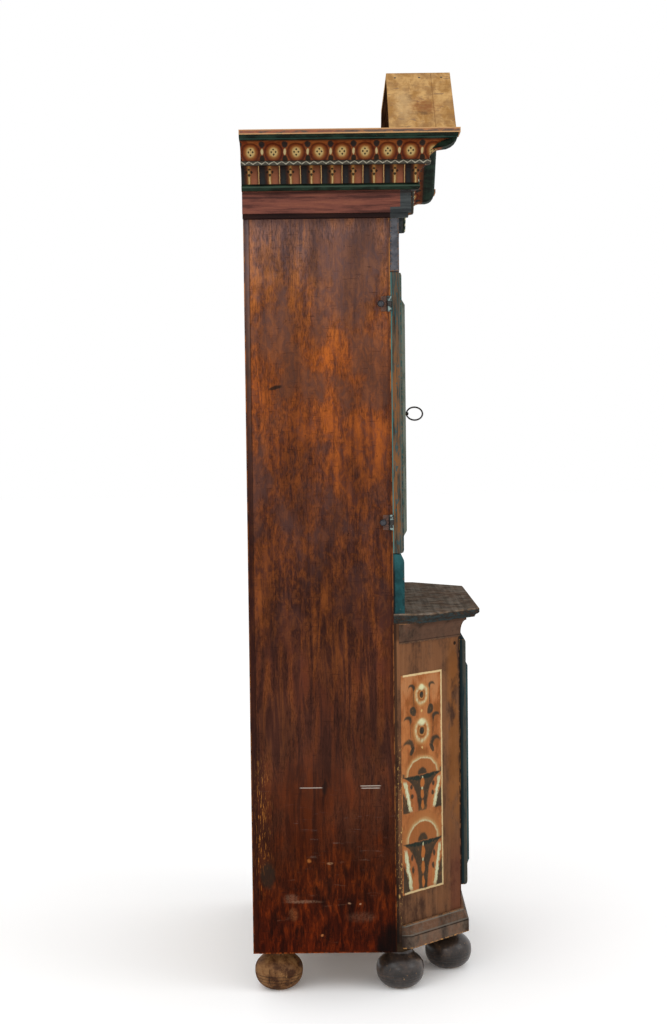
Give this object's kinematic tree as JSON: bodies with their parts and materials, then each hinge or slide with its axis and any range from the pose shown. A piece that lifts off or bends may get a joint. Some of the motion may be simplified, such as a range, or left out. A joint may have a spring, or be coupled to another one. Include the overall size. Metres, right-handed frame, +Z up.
{
  "type": "painted cupboard",
  "caption": "Tall painted folk cupboard with a canted base on bun feet, a waist ledge, panelled doors above and below, and a moulded cornice raised across the front.",
  "frame": {"origin": "centre of the cupboard's footprint, on the floor", "axes": "+X to the right as one faces the doors, +Y to the back, +Z up"},
  "size_m": [1.14, 0.568, 2.2513],
  "materials": {
    "side_varnish": "old red-brown varnish, worn orange in places, satin",
    "raw_wood": "unfinished aged softwood, matte",
    "foot_wood": "dark brown varnish, glossy, worn on the bulge",
    "base_wood": "brown paint, satin, with a painted panel on each canted board",
    "ledge_wood": "dark olive brown, worn, satin",
    "teal_paint": "dark teal paint, satin",
    "cornice_paint": "green-black mouldings with painted terracotta and cream bands",
    "bare_pine": "bare aged pine, matte, stained",
    "upper_door_paint": "grey-green paint, worn to bare wood on the edges",
    "lower_door_paint": "dark blue-green paint, satin",
    "iron": "blackened wrought iron"
  },
  "bodies": {
    "carcass": {"back_panel": "raw_wood", "base_frame": "base_wood", "base_moulding_front": "base_wood", "base_moulding_left": "base_wood", "base_moulding_right": "base_wood", "bottom_board": "raw_wood", "canted_board_left": "base_wood", "canted_board_right": "base_wood", "cap_centre": "bare_pine", "cap_return_left": "bare_pine", "cap_return_right": "bare_pine", "cap_slope_left": "bare_pine", "cap_slope_right": "bare_pine", "cornice_centre": "cornice_paint", "cornice_return_left": "cornice_paint", "cornice_return_right": "cornice_paint", "cornice_slope_left": "cornice_paint", "cornice_slope_right": "cornice_paint", "foot_front_left": "foot_wood", "foot_front_right": "foot_wood", "foot_middle_left": "foot_wood", "foot_middle_right": "foot_wood", "foot_rear_left": "foot_wood", "foot_rear_right": "foot_wood", "frieze_board": "teal_paint", "ledge_board": "ledge_wood", "ledge_cove_front": "base_wood", "ledge_cove_left": "base_wood", "ledge_cove_right": "base_wood", "lower_pintle_high": "iron", "lower_pintle_low": "iron", "lower_shelf": "raw_wood", "side_board_left": "side_varnish", "side_board_right": "side_varnish", "top_board": "raw_wood", "upper_pintle_high_left": "iron", "upper_pintle_high_right": "iron", "upper_pintle_low_left": "iron", "upper_pintle_low_right": "iron", "upper_shelf_high": "raw_wood", "upper_shelf_low": "raw_wood", "waist_rail": "teal_paint"},
    "upper_door_left": {"upper_door_frame_left": "upper_door_paint", "upper_door_panel_left": "upper_door_paint", "upper_hinge_leaf_high_left": "iron", "upper_hinge_leaf_low_left": "iron", "upper_lock_keeper": "iron"},
    "upper_door_right": {"upper_door_frame_right": "upper_door_paint", "upper_door_panel_right": "upper_door_paint", "upper_hinge_leaf_high_right": "iron", "upper_hinge_leaf_low_right": "iron", "upper_lock_case": "iron"},
    "lower_door": {"lower_door_frame": "lower_door_paint", "lower_door_panel": "lower_door_paint", "lower_hinge_leaf_high": "iron", "lower_hinge_leaf_low": "iron", "lower_lock_case": "iron"},
    "key": {"key": "iron"},
    "upper_bolt": {"upper_lock_bolt": "iron"},
    "lower_bolt": {"lower_lock_bolt": "iron"}
  },
  "joints": [
    {"name": "upper_door_left_swing", "type": "hinge", "parent": "carcass", "child": "upper_door_left", "pos_m": [-0.4365, -0.0629, 1.4093], "axis": [0, 0, -1], "range_deg": [0, 160]},
    {"name": "upper_door_right_swing", "type": "hinge", "parent": "carcass", "child": "upper_door_right", "pos_m": [0.4365, -0.0629, 1.4093], "axis": [0, 0, 1], "range_deg": [0, 160]},
    {"name": "lower_door_swing", "type": "hinge", "parent": "carcass", "child": "lower_door", "pos_m": [0.2585, -0.2398, 0.529], "axis": [0, 0, 1], "range_deg": [0, 130]},
    {"name": "key_turn", "type": "hinge", "parent": "upper_door_right", "child": "key", "pos_m": [0.031, -0.0933, 1.4113], "axis": [0, 1, 0], "range_deg": [0, 180]},
    {"name": "upper_bolt_slide", "type": "slide", "parent": "upper_door_right", "child": "upper_bolt", "axis": [-1, 0, 0], "range_m": [0, 0.016]},
    {"name": "lower_bolt_slide", "type": "slide", "parent": "lower_door", "child": "lower_bolt", "axis": [-1, 0, 0], "range_m": [0, 0.016]}
  ],
  "couplings": [
    {"joint": "upper_bolt_slide", "follows": "key_turn", "m_per_rad": 0.00509}
  ]
}
